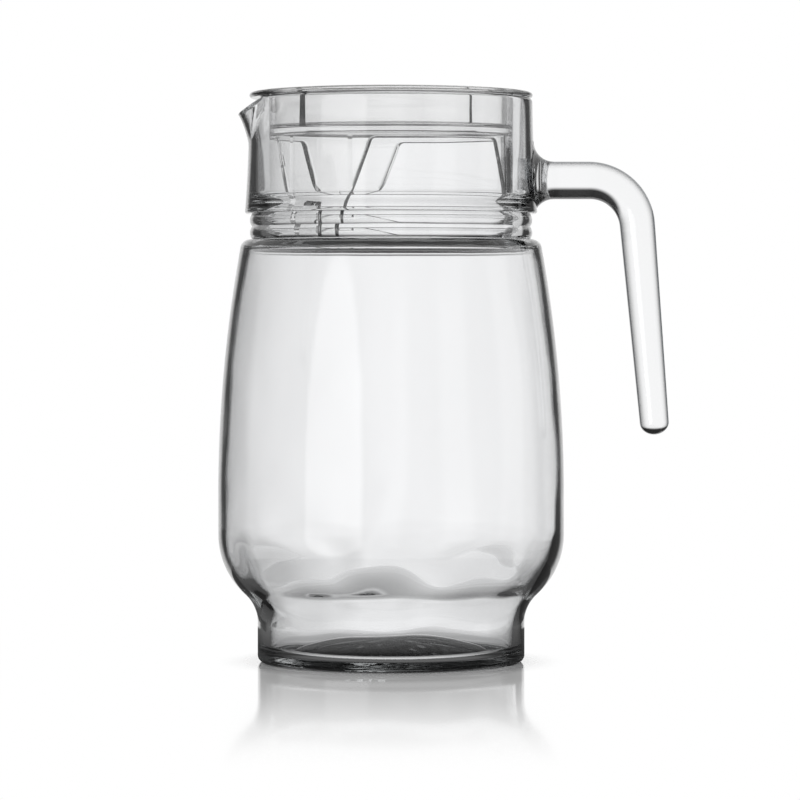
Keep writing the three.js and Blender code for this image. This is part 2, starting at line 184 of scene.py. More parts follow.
# %% Inside outline from the rim down to the floor
BODY_WALL, FOOT_WALL, NECK_WALL, COLLAR_WALL = 2.5 * mm, 4.5 * mm, 3 * mm, 4.4 * mm
LEDGE, SHOULDER_GLASS = 7 * mm, 1.4 * mm
BASE_GLASS, FLOOR_CROWN, FLOOR_INSET, FLOOR_FILLET = 3.4 * mm, 0.6 * mm, 2 * mm, 4 * mm
NECK_BORE, COLLAR_BORE = RIM_RADIUS - NECK_WALL, COLLAR_RADIUS - COLLAR_WALL
BELLY_BORE, FOOT_BORE = BODY_RADIUS - BODY_WALL, FOOT_RADIUS - FOOT_WALL
NECK_ROWS = 16

inner_shoulder = (SHOULDER_RADIUS - BODY_WALL, SHOULDER_HEIGHT - SHOULDER_GLASS)
floor_top = BASE_GLASS + PUNT_RISE + FLOOR_CROWN
straight = RIM_HEIGHT - COLLAR_TOP - LEDGE
inside = arc(NECK_BORE + RIM_ROUND, RIM_HEIGHT - RIM_ROUND, RIM_ROUND, 90, 180, 6)
inside += [(NECK_BORE, RIM_HEIGHT - straight * i / NECK_ROWS) for i in range(2, NECK_ROWS)]
inside += ease((NECK_BORE, COLLAR_TOP + LEDGE), (COLLAR_BORE, COLLAR_TOP), 10)
inside += ease((COLLAR_BORE, SHOULDER_TOP), inner_shoulder, 10)
inside += lean_in(BELLY_BORE, *inner_shoulder)[::-1]
inside += flare(FOOT_BORE, WAIST_FILLET + FOOT_WALL, BELLY_BORE, BOWL_CORNER - BODY_WALL)[::-1]
inside += arc(FOOT_BORE - FLOOR_FILLET, BASE_GLASS + FLOOR_FILLET, FLOOR_FILLET, 0, -90, 8)
inside += bend(
    (PUNT_RADIUS - FLOOR_INSET, BASE_GLASS), (PUNT_RADIUS - PUNT_EDGE, floor_top), (0, floor_top), 14
)
print(f"neck bore {NECK_BORE / mm:.2f} mm, {len(inside)} points inside")

# %% [markdown]
# From mesh to object
# Every piece ends the same way: points that lie on each other are merged, faces are turned
# outward and the mesh becomes an object. Clear pieces need that, because refraction depends
# on which side is inside. Smooth shading suits pressed and moulded pieces, and edges sharper
# than a crease angle stay sharp in it.

# %% Clean a mesh and make an object of it
WELD, CREASE = 0.002 * mm, 50


def tidy(bm):
    bmesh.ops.remove_doubles(bm, verts=bm.verts, dist=WELD)
    bmesh.ops.dissolve_degenerate(bm, edges=bm.edges, dist=WELD)
    bmesh.ops.recalc_face_normals(bm, faces=bm.faces)


def as_object(bm, name, crease=CREASE):
    for edge in bm.edges:
        edge.smooth = edge.calc_face_angle(0) < math.radians(crease)
    for face in bm.faces:
        face.smooth = True
    mesh = bpy.data.meshes.new(name)
    bm.to_mesh(mesh)
    bm.free()
    obj = bpy.data.objects.new(name, mesh)
    scene.collection.objects.link(obj)
    return obj


print("points within", WELD / mm, "mm are merged, and edges over", CREASE, "degrees stay sharp")

# %% [markdown]
# Spinning the glass
# One closed outline, from the middle of the underside over the rim to the middle of the
# floor, spun in a full turn gives the whole shell with its true wall. A spin repeats the
# first ring and stacks points at the two poles, so the mesh is cleaned before anything else
# is done to it.

# %% Spin the vessel
ROUND_STEPS = 160


def spun(points):
    bm = bmesh.new()
    rows = [bm.verts.new((AXIS + r, 0, z)) for r, z in points]
    edges = [bm.edges.new(pair) for pair in zip(rows, rows[1:])]
    bmesh.ops.spin(
        bm,
        geom=rows + edges,
        cent=(AXIS, 0, 0),
        axis=(0, 0, 1),
        angle=2 * math.pi,
        steps=ROUND_STEPS,
        use_merge=True,
    )
    tidy(bm)
    return bm


vessel_bm = spun(outside + inside)
print("vessel:", len(vessel_bm.verts), "points,", len(vessel_bm.faces), "faces")

# %% [markdown]
# Pouring lip
# While the glass is soft, the rim is drawn out and down with a round tool. The pull is
# strongest at the rim in the middle of the lip and dies away to the sides and downward.
# The channel narrows towards its lower end and meets the round neck in a soft crease, as a
# cosine does that ends at its steepest. The drawn glass gets thinner: its inside moves more.

# %% Pull the lip out of the rim
SPOUT_REACH, SPOUT_DROP, SPOUT_DEPTH, SPOUT_WIDTH = 4.5 * mm, 5.5 * mm, 16.5 * mm, 46 * mm
LIP_WALL, LIP_ROOT = 2.2 * mm, 0.35
lip_half = math.asin(SPOUT_WIDTH / 2 / RIM_RADIUS)
wall_middle = RIM_RADIUS - NECK_WALL / 2
pulled = 0
for vert in vessel_bm.verts:
    away = Vector((vert.co.x - AXIS, vert.co.y, 0))
    rise = (vert.co.z - (RIM_HEIGHT - SPOUT_DEPTH)) / SPOUT_DEPTH
    width = lip_half * (LIP_ROOT + (1 - LIP_ROOT) * rise)
    from_spout = abs(math.atan2(away.y, -away.x)) / width if rise > 0 else 1
    if from_spout < 1:
        pull = math.cos(math.pi / 2 * from_spout)
        thinning = NECK_WALL - LIP_WALL if away.length < wall_middle else 0
        vert.co += away.normalized() * (SPOUT_REACH + thinning) * pull * rise
        vert.co.z -= SPOUT_DROP * pull * rise**2
        pulled += 1
print("points pulled into the lip:", pulled)

# %% [markdown]
# Uneven glass
# The outside takes its form from a smooth mould, but the inside of such a vessel is never
# quite even: the glass lies in slow waves, most of all at the bottom of the belly where it
# was still flowing. Those waves bend the light, and they are what makes a vessel look like
# glass and not like acrylic. The underside of the base keeps the grain of its mould. Noise
# at each point gives all three, and a shift of the noise picks where the waves lie.

# %% Waves inside and grain under the base
WAVE_HEIGHT, WAVE_LENGTH, CALM_REACH = 0.22 * mm, 34 * mm, 40 * mm
FLOW_HEIGHT, FLOW_LENGTH, FLOW_SHIFT = 1.1 * mm, 20 * mm, Vector((37, 11, 0))
FLOW_MIDDLE, FLOW_BELOW, FLOW_ABOVE = 29 * mm, 13 * mm, 24 * mm
GRAIN_HEIGHT, GRAIN_LENGTH, GRAIN_MARGIN = 0.3 * mm, 3.6 * mm, 1 * mm
INWARD, DOWNWARD = -0.15, -0.3
vessel_bm.normal_update()
moved = 0
for vert in vessel_bm.verts:
    away = Vector((vert.co.x - AXIS, vert.co.y, 0))
    normal = vert.normal.copy()
    facing_in = away.length > mm and normal.dot(away.normalized()) < INWARD
    below_base = away.length < PUNT_RADIUS - GRAIN_MARGIN and vert.co.z < PUNT_RISE + GRAIN_MARGIN
    if facing_in and BASE_GLASS < vert.co.z < SHOULDER_HEIGHT:
        spread = FLOW_BELOW if vert.co.z < FLOW_MIDDLE else FLOW_ABOVE
        flow = math.exp(-(((vert.co.z - FLOW_MIDDLE) / spread) ** 2))
        calm = min(1, (SHOULDER_HEIGHT - vert.co.z) / CALM_REACH)
        push = WAVE_HEIGHT * calm * noise.noise(vert.co / WAVE_LENGTH)
        push += FLOW_HEIGHT * flow * noise.noise(vert.co / FLOW_LENGTH + FLOW_SHIFT)
        vert.co += normal * push
        moved += 1
    elif normal.z < DOWNWARD and below_base:
        vert.co += normal * GRAIN_HEIGHT * noise.noise(vert.co / GRAIN_LENGTH) * vert.co.z / PUNT_RISE
        moved += 1
vessel = as_object(vessel_bm, "vessel_glass")
print("points moved off the even form:", moved)

# %% [markdown]
# Handle
# The handle is one rod of hot glass: a flared root that was pressed against the neck, a
# level arm, a bend, and a grip that leans out a little and ends in a round tip. It could
# be a bevelled curve, but its section changes from root to tip. So an oval ring is
# extruded from place to place along the centre line and scaled on the way.

# %% Centre line and section of the rod
ARM_RISE, ARM, BEND = 12.4 * mm, 20.6 * mm, 17.8 * mm
LEAN, GRIP = math.radians(5), 78 * mm
ROD, ROD_WIDTH, ROOT_FLARE = 13.9 * mm, 15 * mm, 7.5 * mm
TIP, TIP_WIDTH, TIP_ROUND = 10.6 * mm, 11.6 * mm, 4.4 * mm
ARM_HEIGHT = COLLAR_TOP + ARM_RISE
bend_from = NECK_WALL + ARM
grip_from = bend_from + BEND * (math.pi / 2 - LEAN)
rod_end = grip_from + GRIP


def rod_frame(along):
    """Place of the rod's section at a distance from its root, as a matrix for a unit ring"""
    start = AXIS + NECK_WAIST - NECK_WALL
    turn = min(max((along - bend_from) / BEND, 0), math.pi / 2 - LEAN)
    x = start + min(along, bend_from) + BEND * math.sin(turn)
    z = ARM_HEIGHT - BEND * (1 - math.cos(turn))
    onward = Vector((math.cos(turn), 0, -math.sin(turn)))
    centre = Vector((x, 0, z)) + onward * max(0, along - grip_from)
    taper = min(max((along - bend_from) / (rod_end - bend_from), 0), 1)
    closing = math.sqrt(max(0, 1 - max(0, (along - rod_end + TIP_ROUND) / TIP_ROUND) ** 2))
    near = min(max(along - NECK_WALL, 0), ROOT_FLARE)
    swell = ROOT_FLARE - math.sqrt(ROOT_FLARE**2 - (ROOT_FLARE - near) ** 2)
    thick = ((ROD + (TIP - ROD) * taper) / 2 + swell) * closing
    wide = ((ROD_WIDTH + (TIP_WIDTH - ROD_WIDTH) * taper) / 2 + swell) * closing
    over = Vector((-onward.z, 0, onward.x))
    columns = (over * thick, Vector((0, wide, 0)), onward * thick, centre)
    return Matrix([[c[i] for c in columns] for i in range(3)] + [[0, 0, 0, 1]])


print(f"rod of {rod_end / mm:.1f} mm from root to tip")

# %% [markdown]
# Sections of the rod
# The rod needs many sections where it curves, in the flare, the bend and the round tip, and
# few where it is straight. In the flare and the tip they crowd towards the ends of the rod.
# Each extrusion copies the ring, and the step from one place to the next moves and scales it.

# %% Extrude the ring along the rod
ROOT_CUTS, ARM_CUTS, BEND_CUTS, GRIP_CUTS, TIP_CUTS = 10, 5, 26, 18, 10
stations = [0] + [NECK_WALL + ROOT_FLARE * (i / ROOT_CUTS) ** 2 for i in range(ROOT_CUTS + 1)]
stations += [NECK_WALL + ROOT_FLARE + (ARM - ROOT_FLARE) * i / ARM_CUTS for i in range(1, ARM_CUTS)]
stations += [bend_from + (grip_from - bend_from) * i / BEND_CUTS for i in range(BEND_CUTS)]
stations += [grip_from + (GRIP - TIP_ROUND) * i / GRIP_CUTS for i in range(GRIP_CUTS)]
tip_turns = [math.radians(90 / TIP_CUTS * i) for i in range(TIP_CUTS)]
stations += [rod_end - TIP_ROUND * (1 - math.sin(turn)) for turn in tip_turns]

ROD_SIDES = 48
handle_bm = bmesh.new()
bmesh.ops.create_circle(
    handle_bm, cap_ends=True, segments=ROD_SIDES, radius=1, matrix=rod_frame(stations[0])
)
ring = [edge for edge in handle_bm.edges if edge.is_boundary]
for before, after in zip(stations, stations[1:]):
    grown = bmesh.ops.extrude_edge_only(handle_bm, edges=ring)["geom"]
    points = [part for part in grown if isinstance(part, bmesh.types.BMVert)]
    step = rod_frame(after) @ rod_frame(before).inverted()
    bmesh.ops.transform(handle_bm, matrix=step, verts=points)
    ring = [part for part in grown if isinstance(part, bmesh.types.BMEdge) and part.is_boundary]
bmesh.ops.edgeloop_fill(handle_bm, edges=ring)
print("handle with a straight root:", len(stations), "sections,", len(handle_bm.faces), "faces")

# %% [markdown]
# Root of the handle
# The root was pressed onto the round neck while both were soft. Its flare was bent round
# the neck with it and stopped just above the step of the collar. Each point is moved back
# by as much as the neck falls away at its side, less and less along the flare.

# %% Bend the root round the neck
wall_side, ROOT_STEP = AXIS + NECK_WAIST, 0.6 * mm
for vert in handle_bm.verts:
    hug = min(max(1 - (vert.co.x - wall_side) / ROOT_FLARE, 0), 1)
    vert.co.x -= hug * (NECK_WAIST - math.sqrt(max(0, NECK_WAIST**2 - vert.co.y**2)))
    if hug > 0:
        vert.co.z = max(vert.co.z, COLLAR_TOP + ROOT_STEP)
tidy(handle_bm)
handle = as_object(handle_bm, "handle_glass")
print("handle:", len(handle.data.polygons), "faces")

# %% [markdown]
# Where handle and neck meet
# The fused root ends on the neck's own curve. A plain way to get that end is to cut the
# rod with the outline of the neck, grown by a hair, which a Boolean does exactly. The
# modifier's result is read back into a mesh at once, so that it can be shaded cleanly.

# %% Cut the root to the curve of the neck
HAIR = 0.05 * mm


def combine(obj, tool, operation):
    modifier = obj.modifiers.new(operation.title(), "BOOLEAN")
    modifier.operation, modifier.object, modifier.solver = operation, tool, "EXACT"
    graph = bpy.context.evaluated_depsgraph_get()
    mesh = bpy.data.meshes.new_from_object(obj.evaluated_get(graph))
    obj.modifiers.clear()
    bm = bmesh.new()
    bm.from_mesh(mesh)
    bpy.data.meshes.remove(mesh)
    tidy(bm)
    name = obj.name
    bpy.data.objects.remove(obj)
    bpy.data.objects.remove(tool)
    return as_object(bm, name)


neck_core = [(r + HAIR, z) for r, z in shoulder + collar + neck]
core = as_object(spun([(0, neck_core[0][1])] + neck_core + [(0, neck_core[-1][1])]), "neck_core")
handle = combine(handle, core, "DIFFERENCE")
print("handle after the cut:", len(handle.data.polygons), "faces")

# %% [markdown]
# Lid
# The lid is one clear moulding. Its flange rests on the rim, its middle is a recessed cup
# with an upright fin to hold it by, and below the cup a thin skirt is left in three legs
# between wide windows, so that water can pass. It is spun like the vessel, then cut.

# %% Spin the lid's blank
LID_GAP, FLANGE, FLANGE_OVER = 0.3 * mm, 1.9 * mm, 0.1 * mm
CUP_DEPTH, CUP_FILLET, LID_WALL, LID_FLOOR = 14.2 * mm, 1.6 * mm, 2 * mm, 1.7 * mm
PAD, LEG_LIFT, LID_CREASE = 1.7 * mm, 0.9 * mm, 35
LID_SEAT = RIM_HEIGHT + LID_GAP
PAD_RADIUS = COLLAR_BORE - LID_GAP
CUP_RADIUS = PAD_RADIUS - PAD
CUP_BORE = CUP_RADIUS - LID_WALL
FLANGE_RADIUS = RIM_RADIUS + FLANGE_OVER
cup_floor = LID_SEAT + FLANGE - CUP_DEPTH
cup_under = cup_floor - LID_FLOOR
leg_foot = SHOULDER_TOP + LEG_LIFT
half_flange = FLANGE / 2
TOE, SKIRT_FILLET, FLAT_EDGE = 0.5 * mm, 1 * mm, 12 * mm
flat = CUP_BORE - FLAT_EDGE
skirt_top = (CUP_BORE, cup_under - SKIRT_FILLET)

blank = [(0, cup_under), (flat, cup_under)]
blank += bend((CUP_BORE - SKIRT_FILLET, cup_under), (CUP_BORE, cup_under), skirt_top, 4)
blank += [(CUP_BORE, leg_foot + TOE)]
blank += bend((CUP_BORE, leg_foot + TOE), (CUP_BORE, leg_foot), (CUP_BORE + TOE, leg_foot), 3)[1:]
blank += bend((CUP_RADIUS - TOE, leg_foot), (CUP_RADIUS, leg_foot), (CUP_RADIUS, leg_foot + TOE), 3)
blank += bend((CUP_RADIUS, LID_SEAT - TOE), (CUP_RADIUS, LID_SEAT), (CUP_RADIUS + TOE, LID_SEAT), 4)
blank += arc(FLANGE_RADIUS - half_flange, LID_SEAT + half_flange, half_flange, -90, 90, 12)
blank += arc(CUP_BORE + half_flange, LID_SEAT + half_flange, half_flange, 90, 180, 6)
blank += arc(CUP_BORE - CUP_FILLET, cup_floor + CUP_FILLET, CUP_FILLET, 0, -90, 6)
blank += [(flat, cup_floor), (0, cup_floor)]
lid = as_object(spun(blank), "lid_plastic", LID_CREASE)
print("lid blank:", len(lid.data.polygons), "faces")

# %% [markdown]
# Shapes that point outward
# Windows, fin and pads of the lid all run outward from the axis, each at its own angle. They
# are drawn as if seen from outside, with Z towards the eye, and a matrix then stands them
# upright at their angle, so that one drawing serves all three legs. Windows and fin are flat
# outlines that get their depth by extruding.

# %% Stand a drawing upright and extrude it
def facing(angle):
    """Matrix that stands a shape drawn in X and Y upright, its Z running outward at an angle"""
    outward = Vector((math.cos(angle), math.sin(angle), 0))
    columns = (Vector((-outward.y, outward.x, 0)), Vector((0, 0, 1)), outward, Vector((AXIS, 0, 0)))
    return Matrix([[c[i] for c in columns] for i in range(3)] + [[0, 0, 0, 1]])


def prism(outline, depth, matrix, name, start=0):
    bm = bmesh.new()
    face = bm.faces.new([bm.verts.new((x, y, start)) for x, y in outline])
    grown = bmesh.ops.extrude_face_region(bm, geom=[face])["geom"]
    points = [part for part in grown if isinstance(part, bmesh.types.BMVert)]
    bmesh.ops.translate(bm, vec=(0, 0, depth), verts=points)
    bmesh.ops.transform(bm, matrix=matrix, verts=bm.verts)
    tidy(bm)
    return as_object(bm, name, LID_CREASE)


print("outward at a right angle:", tuple(round(v, 3) for v in facing(math.pi / 2).col[2].xyz))

# %% [markdown]
# Windows between the legs
# Each window is a wide opening with upright-looking sides that lean apart towards the
# feet. A flat outline with rounded upper corners, extruded straight outward from the axis,
# is the shape of the slide that forms such a window in the mould, and it cuts one here.

# %% Cut the three windows
LINTEL, WINDOW_TOP, WINDOW_LEAN, WINDOW_CORNER = 2.5 * mm, 46.8 * mm, math.radians(16.2), 1.8 * mm
LEGS, LID_TURN = 3, math.pi + math.radians(53.65)
window_top, window_bottom = cup_under - LINTEL, leg_foot - LID_WALL
slope = math.tan(WINDOW_LEAN)
top_half = WINDOW_TOP / 2
side = (top_half + WINDOW_CORNER * slope, window_top - WINDOW_CORNER)
corner = bend(side, (top_half, window_top), (top_half - WINDOW_CORNER, window_top), 6)
right = [(top_half + (window_top - window_bottom) * slope, window_bottom)] + corner
window = right + [(-x, y) for x, y in reversed(right)]
for leg in range(LEGS):
    angle = LID_TURN + (leg + 0.5) * 2 * math.pi / LEGS
    cutter = prism(window, CUP_RADIUS + LID_WALL, facing(angle), "window_slide")
    lid = combine(lid, cutter, "DIFFERENCE")
print("lid with windows:", len(lid.data.polygons), "faces")

# %% [markdown]
# Rounded window edges
# A moulding has no knife edges, and on clear plastic it is the small rounds that show, as
# thin dark lines along an opening. The rims of the windows are the sharp edges between the
# lintel and the feet, so they are picked by height and angle and bevelled round.

# %% Round the edges of the windows
WINDOW_ROUND, RIM_ANGLE = 0.7 * mm, math.radians(50)
ABOVE_TOE, ABOVE_WINDOW = 0.1 * mm, 0.05 * mm


def round_edges(bm, edges, offset, segments):
    bmesh.ops.bevel(
        bm,
        geom=edges,
        offset=offset,
        offset_type="OFFSET",
        segments=segments,
        profile=0.5,
        affect="EDGES",
        material=-1,
    )
    tidy(bm)


lid_bm = bmesh.new()
lid_bm.from_mesh(lid.data)
bpy.data.objects.remove(lid)
lowest, highest = leg_foot + TOE + ABOVE_TOE, window_top + ABOVE_WINDOW
sharp = [edge for edge in lid_bm.edges if edge.calc_face_angle(0) > RIM_ANGLE]
window_rims = [edge for edge in sharp if all(lowest < vert.co.z < highest for vert in edge.verts)]
round_edges(lid_bm, window_rims, WINDOW_ROUND, 3)
lid = as_object(lid_bm, "lid_plastic", LID_CREASE)
print("edges rounded:", len(window_rims), "lid now:", len(lid.data.polygons), "faces")

# %% [markdown]
# Grip fin
# A drafted fin stands across the recess, so that two fingers can lift the lid. It is drawn
# as an outline that narrows upward, with rounded upper corners, and extruded from one side
# of the cup to the other. A Boolean joins it to the moulding.

# %% Join the fin
FIN, FIN_DRAFT, FIN_DROP, FIN_TURN = 3.2 * mm, 0.4 * mm, 1.2 * mm, math.radians(-9)
fin_top, fin_root = LID_SEAT + FLANGE - FIN_DROP, cup_floor - LID_FLOOR / 2
FIN_ROUND = 0.5 * mm
fin_half = FIN / 2
narrow = fin_half - FIN_DRAFT
fin_corner = bend((narrow, fin_top - FIN_ROUND), (narrow, fin_top), (narrow - FIN_ROUND, fin_top), 3)
fin_right = [(fin_half, fin_root)] + fin_corner
fin_outline = fin_right + [(-x, y) for x, y in reversed(fin_right)]
fin_reach = CUP_BORE + LID_WALL / 2
fin = prism(fin_outline, 2 * fin_reach, facing(LID_TURN + FIN_TURN), "fin", start=-fin_reach)
lid = combine(lid, fin, "UNION")
print("lid with fin:", len(lid.data.polygons), "faces")

# %% [markdown]
# Spacer pads
# On the foot of each leg sits a small pad that bears in the collar of the glass and centres
# the lid. A pad is a block sunk to the middle of the leg's wall, with the edges of its
# outer face bevelled so that it slides in. It is drawn at the axis, turned to its leg and
# joined.

# %% Join the pads
PAD_WIDTH, PAD_HEIGHT, PAD_CHAMFER = 6.4 * mm, 10.4 * mm, 0.8 * mm
pad_root = CUP_RADIUS - LID_WALL / 2
for leg in range(LEGS):
    bm = bmesh.new()
    size = (PAD_WIDTH, PAD_HEIGHT, PAD_RADIUS - pad_root)
    centre = (0, leg_foot + PAD_HEIGHT / 2, (PAD_RADIUS + pad_root) / 2)
    bmesh.ops.create_cube(bm, size=1, matrix=Matrix.Translation(centre) @ Matrix.Diagonal((*size, 1)))
    front = [edge for edge in bm.edges if all(vert.co.z > centre[2] for vert in edge.verts)]
    round_edges(bm, front, PAD_CHAMFER, 2)
    bmesh.ops.transform(bm, matrix=facing(LID_TURN + leg * 2 * math.pi / LEGS), verts=bm.verts)
    lid = combine(lid, as_object(bm, "pad", LID_CREASE), "UNION")
print("finished lid:", len(lid.data.polygons), "faces")

# %% [markdown]
# Clean shading on the lid
# Cutting leaves long faces with uneven corners, and smooth shading would blend the corners
# of a wall with the fillet above it, which shows through clear plastic as ragged lines. The
# true direction is known: straight out from the axis on a round wall, and the face's own
# direction on a flat one. Only the small faces of fillets keep the blended shading.

# %% Give walls and flats of the lid their true normals
FLAT_AREA, UPRIGHT = 2 * mm * mm, 0.999
mesh = lid.data
normals = [corner.vector.copy() for corner in mesh.corner_normals]
walls = flats = 0
for face in mesh.polygons:
    middle = Vector((face.center.x - AXIS, face.center.y, 0)).normalized()
    facing_out = face.normal.dot(middle)
    if abs(facing_out) > UPRIGHT:
        walls += 1
        sign = math.copysign(1, facing_out)
        for corner in face.loop_indices:
            point = mesh.vertices[mesh.loops[corner].vertex_index].co
            normals[corner] = Vector((point.x - AXIS, point.y, 0)).normalized() * sign
    elif face.area > FLAT_AREA:
        flats += 1
        for corner in face.loop_indices:
            normals[corner] = face.normal
mesh.normals_split_custom_set(normals)
print("lid shading: faces on round walls", walls, "and flat faces", flats)

# %% [markdown]
# Sums in a finish
# A finish is a small network of shader nodes, and much of it is sums on values. Those are
# easier to read as Python expressions, so one class wraps a socket and adds a Math node for
# each sign. The reflected forms let a plain number stand first, as in 1 - shaded.

# %% Sums on sockets
class Signal:
    def __init__(self, tree, socket):
        self.tree, self.socket = tree, socket

    def output(self, name):
        return Signal(self.tree, self.socket.node.outputs[name])

    def maths(self, operation, first, second):
        node = self.tree.nodes.new("ShaderNodeMath")
        node.operation = operation
        for slot, value in zip(node.inputs, (first, second)):
            if isinstance(value, Signal):
                self.tree.links.new(value.socket, slot)
            else:
                slot.default_value = value
        return Signal(self.tree, node.outputs[0])

    def __add__(self, other):
        return self.maths("ADD", self, other)

    def __sub__(self, other):
        return self.maths("SUBTRACT", self, other)

    def __rsub__(self, other):
        return self.maths("SUBTRACT", other, self)

    def __mul__(self, other):
        return self.maths("MULTIPLY", self, other)

    def __pow__(self, other):
        return self.maths("POWER", self, other)

    __radd__, __rmul__ = __add__, __mul__


def pick(switch, chosen, other):
    return switch * chosen + (1 - switch) * other


print("a socket takes + - * and **, and pick chooses between two values")

# %% [markdown]
# Nodes of a finish
# Any other node has a type, some settings and what goes into its sockets, so one method can
# add them all. Ramps, noise and blends come up often, and short methods that use the first
# one keep the finishes below easy to read.

# %% One way to add a node
class Finish:
    def __init__(self, owner):
        owner.use_nodes = True
        self.tree = owner.node_tree
        self.tree.nodes.clear()

    def add(self, kind, settings, sockets, output=0):
        node = self.tree.nodes.new("ShaderNode" + kind)
        for name, value in settings.items():
            setattr(node, name, value)
        for name, value in sockets.items():
            if isinstance(value, Signal):
                self.tree.links.new(value.socket, node.inputs[name])
            else:
                node.inputs[name].default_value = value
        return Signal(self.tree, node.outputs[output]) if node.outputs else node

    def ramp(self, value, low, high, at_low=0.0, at_high=1.0):
        sockets = {"Value": value, "From Min": low, "From Max": high}
        sockets |= {"To Min": at_low, "To Max": at_high}
        return self.add("MapRange", {"interpolation_type": "SMOOTHSTEP"}, sockets)

    def noise(self, place, scale, detail, roughness):
        sockets = {"Vector": place, "Scale": scale, "Detail": detail, "Roughness": roughness}
        return self.add("TexNoise", {}, sockets)

    def blend(self, factor, first, second):
        sockets = {"Factor": factor, "A": first, "B": second}
        return self.add("Mix", {"data_type": "RGBA"}, sockets, "Result")


print("a finish adds nodes, ramps, noise and blends")

# %% [markdown]
# Glass
# The glass is clear soda-lime glass: almost no colour in the wall, and a cool grey depth
# where the light runs a long way through it, as in the base. A transmissive shader gives
# the refraction, and absorption inside the volume gives the depth. Where a surface turns
# away from the eye, Layer Weight paints a dark shade into its colour: a painted dark edge
# that stands in for the dark surroundings which real glass shows there. The skin isn't
# perfect: slow waves from forming bend the reflections, and handling leaves faint dull
# patches. Those are a bump and a roughness that vary with noise.

# %% Clear glass
GLASS_IOR, SMEAR_ROUGHNESS = 1.52, 0.03
# The near-black edge colour is painted shade for surfaces that turn away from the eye
CLEAR, PAINTED_EDGE_SHADE, DEPTH = (0.988, 0.99, 0.995, 1), (0.03, 0.034, 0.038, 1), (0.5, 0.525, 0.53, 1)


def glass_finish(name, density, painted_shade_from, painted_shade_to):
    material = bpy.data.materials.new(name)
    finish = Finish(material)
    place = finish.add("TexCoord", {}, {}, "Object")
    waves = finish.noise(place, scale=34.0, detail=1.5, roughness=0.4)
    smears = finish.noise(place, scale=90.0, detail=4.0, roughness=0.6)
    bump = finish.add("Bump", {}, {"Height": waves, "Strength": 0.06, "Distance": 4 * mm})
    facing_away = finish.add("LayerWeight", {}, {"Blend": 0.5}, "Facing")
    # Painted shade: the colour darkens towards the edges that turn away from the eye
    edge = finish.ramp(facing_away, painted_shade_from, painted_shade_to)
    skin = {"Base Color": finish.blend(edge, CLEAR, PAINTED_EDGE_SHADE), "Normal": bump}
    skin |= {"Roughness": smears**3 * SMEAR_ROUGHNESS}
    skin |= {"IOR": GLASS_IOR, "Transmission Weight": 1.0}
    surface = finish.add("BsdfPrincipled", {}, skin)
    volume = finish.add("VolumeAbsorption", {}, {"Color": DEPTH, "Density": density})
    finish.add("OutputMaterial", {}, {"Surface": surface, "Volume": volume})
    return material


vessel_glass = glass_finish("vessel_glass", density=13.0, painted_shade_from=0.7, painted_shade_to=1.0)
handle_glass = glass_finish("handle_glass", density=6.0, painted_shade_from=0.18, painted_shade_to=0.68)
print("finishes:", vessel_glass.name, handle_glass.name)

# %% [markdown]
# Clear plastic
# The lid is moulded from clear plastic. It bends light a little less than the glass, shows
# faint flow from moulding and dulls a little with wear, so its roughness varies more. Its
# edges get a painted dark shade by Layer Weight, as those of the glass do. Its walls are
# too thin to need absorption, so it has no volume.

# %% Clear plastic
PLASTIC_IOR, WEAR_ROUGHNESS = 1.49, 0.06
# The near-black edge colour is painted shade for surfaces that turn away from the eye
CLEAR_PLASTIC, PAINTED_EDGE_SHADE_PLASTIC = (0.997, 0.997, 0.995, 1), (0.03, 0.032, 0.035, 1)
plastic = bpy.data.materials.new("clear_plastic")
finish = Finish(plastic)
place = finish.add("TexCoord", {}, {}, "Object")
flow_marks = finish.noise(place, scale=60.0, detail=2.0, roughness=0.5)
dull = finish.noise(place, scale=220.0, detail=5.0, roughness=0.65)
bump = finish.add("Bump", {}, {"Height": flow_marks, "Strength": 0.02, "Distance": 1 * mm})
# Painted shade: the colour darkens towards the edges that turn away from the eye
edge = finish.ramp(finish.add("LayerWeight", {}, {"Blend": 0.5}, "Facing"), 0.6, 0.97)
skin = {"Base Color": finish.blend(edge, CLEAR_PLASTIC, PAINTED_EDGE_SHADE_PLASTIC), "Normal": bump}
skin |= {"Roughness": dull**2 * WEAR_ROUGHNESS}
skin |= {"IOR": PLASTIC_IOR, "Transmission Weight": 1.0}
surface = finish.add("BsdfPrincipled", {}, skin)
finish.add("OutputMaterial", {}, {"Surface": surface})
print("finish:", plastic.name)

# %% [markdown]
# Pieces and the frame
# On the bench the glass is one body, vessel and handle, and the lid is another that lifts
# out. Each piece gets its finish and rides on its body, and the imported node it stands for
# is hidden, so that a pose moves it with the model. The table also gives the material slot
# each piece fills, which the code doesn't read.

# %% Hand the pieces to the frame
for piece, body, node, slot, material in (
    (vessel, "jug", "glass_body", "glass", vessel_glass),
    (handle, "jug", "glass_handle", "glass", handle_glass),
    (lid, "lid", "lid", "clear_plastic", plastic),
):
    piece.data.materials.clear()
    piece.data.materials.append(material)
    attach(piece, body)
    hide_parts(node)
    print(piece.name, "rides on", body, "and stands for", node)

# %% [markdown]
# Floor
# The pitcher stands on a plain white sheet. A wide round plate is enough, a hair below the
# foot so that the two don't share a face. Its finish depends on the distance from the
# vessel's axis and on how a ray gets there, so both are worked out first.

# %% Plate of the floor
FLOOR_RADIUS, FLOOR_SIDES = 0.5, 96


def more_than(count, depth):
    """1 where a ray's depth of some kind is above a count, else 0"""
    return depth.maths("GREATER_THAN", depth, count + 0.5)


